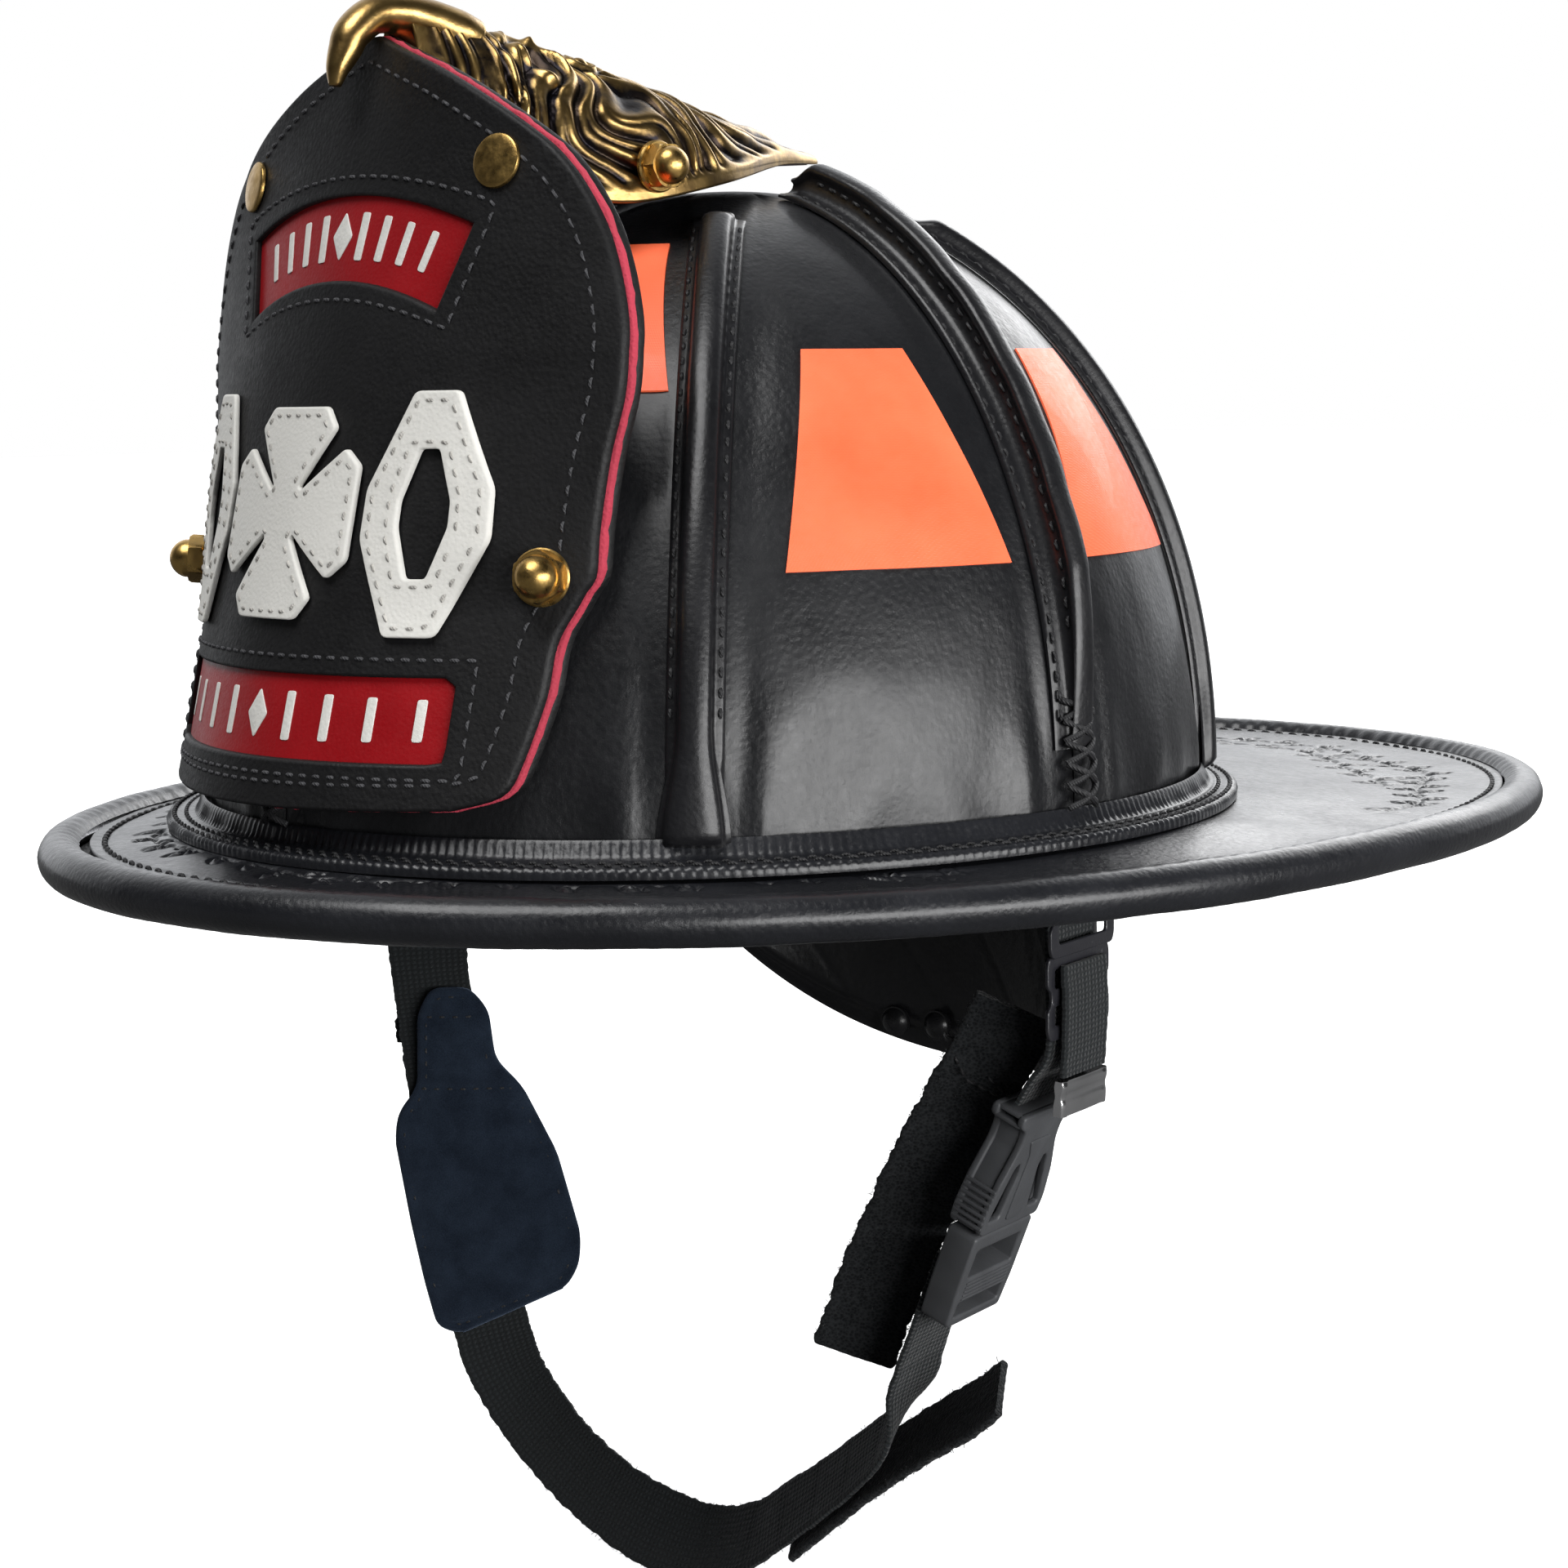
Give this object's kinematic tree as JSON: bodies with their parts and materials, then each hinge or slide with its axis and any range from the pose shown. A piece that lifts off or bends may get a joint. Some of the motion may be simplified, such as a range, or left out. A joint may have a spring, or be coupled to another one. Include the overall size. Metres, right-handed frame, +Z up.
{
  "type": "firefighter helmet",
  "caption": "Traditional leather fire helmet with combed crown, long rear brim, front shield on a cast eagle, ratchet headband and quick-release chin strap.",
  "frame": {"origin": "centre of the head opening in the plane of the brim", "axes": "-Y to the front, +X to the wearer's left, +Z up"},
  "size_m": [0.3044, 0.405, 0.3762],
  "materials": {
    "crown_leather": "semi-gloss dyed leather",
    "comb_leather": "waxed leather",
    "brim_leather": "semi-gloss tooled leather",
    "steel_wire": "drawn wire",
    "reflective_orange": "fluorescent reflective film",
    "shield_leather": "fine-grained leather",
    "piping_red": "red leather layer",
    "white_leather": "off-white leather",
    "title_red": "smooth red leather",
    "brass": "aged",
    "antique_brass": "cast, patinated",
    "zinc_steel": "zinc plated",
    "spacer_rubber": "moulded",
    "impact_plastic": "moulded",
    "liner_foam": "closed-cell foam",
    "webbing": "woven aramid webbing",
    "band_plastic": "moulded nylon",
    "brow_leather": "soft leather over foam",
    "nape_leather": "soft padded leather",
    "stud_black": "black enamel",
    "suede": "napped suede",
    "hook_tape": "hook-and-loop tape",
    "chromed_steel": "polished",
    "black_steel": "black paint, worn edges",
    "buckle_plastic": "moulded acetal"
  },
  "bodies": {
    "shell": {"crown_panels": "crown_leather", "crown_welt": "comb_leather", "fin_front": "comb_leather", "fin_left": "comb_leather", "fin_rear": "comb_leather", "fin_right": "comb_leather", "bead_front_left": "comb_leather", "bead_rear_left": "comb_leather", "bead_rear_right": "comb_leather", "bead_front_right": "comb_leather", "brim_upper": "brim_leather", "brim_under": "brim_leather", "rim_binding": "brim_leather", "rim_wire": "steel_wire", "reflective_patches": "reflective_orange", "shield_front": "shield_leather", "shield_piping": "piping_red", "shield_backing": "shield_leather", "shield_emblem": "white_leather", "title_panel_upper": "title_red", "title_panel_lower": "title_red", "shield_rivets": "brass", "shield_bolts": "zinc_steel", "shield_spacers": "spacer_rubber", "shield_nuts": "brass", "eagle_holder": "antique_brass", "eagle_bracket": "zinc_steel", "eagle_nuts": "brass", "impact_cap": "impact_plastic", "foam_liner": "liner_foam", "crown_straps": "webbing", "headband": "band_plastic", "brow_pad": "brow_leather", "band_hangers": "band_plastic", "ratchet_housing": "band_plastic", "nape_pad": "nape_leather", "nape_studs": "stud_black", "anchor_plates": "zinc_steel", "anchor_pins": "zinc_steel"},
    "chin_strap": {"chin_webbing": "webbing", "chin_pad": "suede", "loop_tail": "hook_tape", "folded_end": "hook_tape", "side_webbing": "webbing", "tail_webbing": "webbing", "strap_tip": "chromed_steel", "triglide_upper": "black_steel", "buckle_socket": "buckle_plastic"},
    "strap_slide": {"triglide_lower": "black_steel"},
    "plug": {"buckle_plug": "buckle_plastic"},
    "front_prong": {"prong_front": "buckle_plastic"},
    "rear_prong": {"prong_rear": "buckle_plastic"},
    "flap": {"hook_flap": "hook_tape"},
    "knob": {"ratchet_knob": "band_plastic"},
    "left_tail": {"band_tail_left": "band_plastic"},
    "right_tail": {"band_tail_right": "band_plastic"}
  },
  "joints": [
    {"name": "chin_strap_swing", "type": "hinge", "parent": "shell", "child": "chin_strap", "pos_m": [0, 0.001, 0.004], "axis": [0.9793, 0.2023, 0], "range_deg": [-35, 30]},
    {"name": "plug_release", "type": "slide", "parent": "chin_strap", "child": "plug", "axis": [-0.3637, -0.0751, -0.9285], "range_m": [0, 0.022]},
    {"name": "rear_prong_press", "type": "hinge", "parent": "plug", "child": "rear_prong", "pos_m": [0.06958, 0.02201, -0.08728], "axis": [0.9093, 0.1878, -0.3714], "range_deg": [0, 6], "stiffness_Nm_per_rad": 0.5},
    {"name": "front_prong_press", "type": "hinge", "parent": "plug", "child": "front_prong", "pos_m": [0.07221, 0.00928, -0.08728], "axis": [-0.9093, -0.1878, 0.3714], "range_deg": [0, 6], "stiffness_Nm_per_rad": 0.5},
    {"name": "strap_adjust", "type": "slide", "parent": "chin_strap", "child": "strap_slide", "axis": [0, 0, -1], "range_m": [-0.003, 0.006]},
    {"name": "flap_swing", "type": "hinge", "parent": "chin_strap", "child": "flap", "pos_m": [0.07737, 0.01698, -0.038], "axis": [0.9793, 0.2023, 0], "range_deg": [-12, 12]},
    {"name": "ratchet_turn", "type": "hinge", "parent": "shell", "child": "knob", "pos_m": [0, 0.098, 0], "axis": [0, 1, 0], "range_deg": [-100, 170]},
    {"name": "left_tail_travel", "type": "hinge", "parent": "shell", "child": "left_tail", "pos_m": [0, 0.023, 0], "axis": [0, 0, 1], "range_deg": [-6.5, 10.5]},
    {"name": "right_tail_travel", "type": "hinge", "parent": "shell", "child": "right_tail", "pos_m": [0, 0.023, 0], "axis": [0, 0, 1], "range_deg": [-10.8, 6.8]}
  ],
  "couplings": [
    {"joint": "front_prong_press", "follows": "rear_prong_press", "ratio": 1},
    {"joint": "left_tail_travel", "follows": "ratchet_turn", "ratio": 0.05831},
    {"joint": "right_tail_travel", "follows": "ratchet_turn", "ratio": -0.06024}
  ]
}
